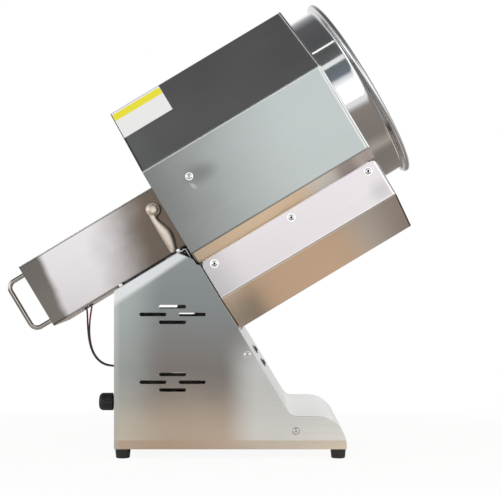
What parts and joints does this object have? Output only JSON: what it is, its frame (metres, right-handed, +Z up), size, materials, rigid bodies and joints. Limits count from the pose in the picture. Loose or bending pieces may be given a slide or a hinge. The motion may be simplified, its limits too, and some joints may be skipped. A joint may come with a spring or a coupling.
{
  "type": "electric nut roaster",
  "caption": "Countertop electric nut roaster: inclined open drum in a bent steel hood with heater tray and motor box, tipping on a sheet steel pedestal with a clamp lever.",
  "frame": {"origin": "on the floor, under the middle of the whole machine", "axes": "+Z up, +X towards the drum's mouth, +Y to the machine's left as seen from behind"},
  "size_m": [0.681, 0.3668, 0.7434],
  "materials": {
    "pedestal_steel": "brushed stainless sheet",
    "hood_steel": "satin stainless sheet",
    "tray_steel": "satin stainless sheet",
    "motor_box_steel": "satin stainless sheet",
    "drum_steel": "polished stainless",
    "handle_steel": "polished stainless rod",
    "fastener_steel": "bright stainless",
    "cast_lever": "silver coated die casting",
    "inner_steel": "zinc plated",
    "motor_alloy": "die-cast aluminium",
    "gear_steel": "oiled steel",
    "tube_steel": "heat-dulled steel",
    "ceramic": "glazed ceramic",
    "mineral_wool": "ceramic fibre mat",
    "black_rubber": "moulded rubber",
    "black_plastic": "moulded nylon",
    "switch_black": "glossy moulding",
    "cream_plastic": "moulded nylon",
    "blue_insulation": "wire insulation",
    "red_insulation": "wire insulation"
  },
  "bodies": {
    "pedestal": {"side_panel_near": "pedestal_steel", "side_panel_far": "pedestal_steel", "back_panel": "pedestal_steel", "front_panel": "pedestal_steel", "base_plate": "pedestal_steel", "top_plate": "pedestal_steel", "rubber_feet": "black_rubber", "rubber_bumpers": "black_rubber", "side_screws": "fastener_steel", "top_bolts": "fastener_steel", "clamp_bracket": "inner_steel", "hinge_lower_leaves": "inner_steel", "hinge_pins": "fastener_steel", "gland_body": "black_plastic", "gland_nuts": "black_plastic", "switch_housings": "switch_black", "thermostat_body": "cream_plastic", "thermostat_dial": "fastener_steel", "terminal_block": "cream_plastic", "wall_grommet": "black_rubber", "wire_blue": "blue_insulation", "wire_red": "red_insulation"},
    "head": {"hood_shell": "hood_steel", "hood_rear_plate": "hood_steel", "hood_front_plate": "hood_steel", "heater_tray": "tray_steel", "casing_screws": "fastener_steel", "heating_tubes": "tube_steel", "heater_terminal_plate": "inner_steel", "heater_terminals": "ceramic", "heater_supports": "inner_steel", "insulation_mats": "mineral_wool", "temperature_probe": "fastener_steel", "drum_bearing": "gear_steel", "gearhead_case": "motor_alloy", "motor_body": "motor_alloy", "motor_fan_cover": "black_plastic", "motor_bracket": "inner_steel", "motor_capacitor": "cream_plastic", "motor_box_shell": "motor_box_steel", "motor_box_lid": "motor_box_steel", "motor_box_rear_plate": "motor_box_steel", "rear_handle": "handle_steel", "hinge_upper_leaves": "inner_steel", "head_grommets": "black_rubber"},
    "drum": {"drum_shell": "drum_steel", "drum_rim": "drum_steel", "drum_rear_disc": "drum_steel", "drum_flights": "drum_steel", "drum_hub": "inner_steel", "drum_shaft": "gear_steel", "shaft_coupling": "gear_steel", "output_gear": "gear_steel"},
    "rotor": {"motor_rotor": "gear_steel", "motor_fan": "black_plastic"},
    "lever": {"lever_handle": "cast_lever", "clamp_stud": "fastener_steel"},
    "heat_rocker": {"heat_switch_rocker": "switch_black"},
    "drum_rocker": {"drum_switch_rocker": "switch_black"},
    "knob": {"thermostat_knob": "black_plastic"}
  },
  "joints": [
    {"name": "head_tilt", "type": "hinge", "parent": "pedestal", "child": "head", "pos_m": [0.05029, 0, 0.20365], "axis": [0, 1, 0], "range_deg": [0, 50], "deforming": ["wire_blue", "wire_red"]},
    {"name": "drum_spin", "type": "hinge", "parent": "head", "child": "drum", "pos_m": [-0.0761, 0, 0.4077], "axis": [0.8572, 0, 0.515], "continuous": true},
    {"name": "rotor_spin", "type": "hinge", "parent": "head", "child": "rotor", "pos_m": [-0.06683, 0, 0.39227], "axis": [0.8572, 0, 0.515], "continuous": true},
    {"name": "lever_turn", "type": "hinge", "parent": "head", "child": "lever", "pos_m": [-0.09058, 0, 0.39491], "axis": [0, 1, 0], "range_deg": [0, 90]},
    {"name": "heat_switch", "type": "hinge", "parent": "pedestal", "child": "heat_rocker", "pos_m": [0.07489, 0, 0.16127], "axis": [-0.515, 0, 0.8572], "range_deg": [-20, 0]},
    {"name": "drum_switch", "type": "hinge", "parent": "pedestal", "child": "drum_rocker", "pos_m": [0.08828, 0, 0.13898], "axis": [-0.515, 0, 0.8572], "range_deg": [-20, 0]},
    {"name": "thermostat_turn", "type": "hinge", "parent": "pedestal", "child": "knob", "pos_m": [0.008, 0, 0.175], "axis": [0, -1, 0], "range_deg": [0, 270]}
  ],
  "couplings": [
    {"joint": "rotor_spin", "follows": "drum_spin", "ratio": -2.6}
  ]
}
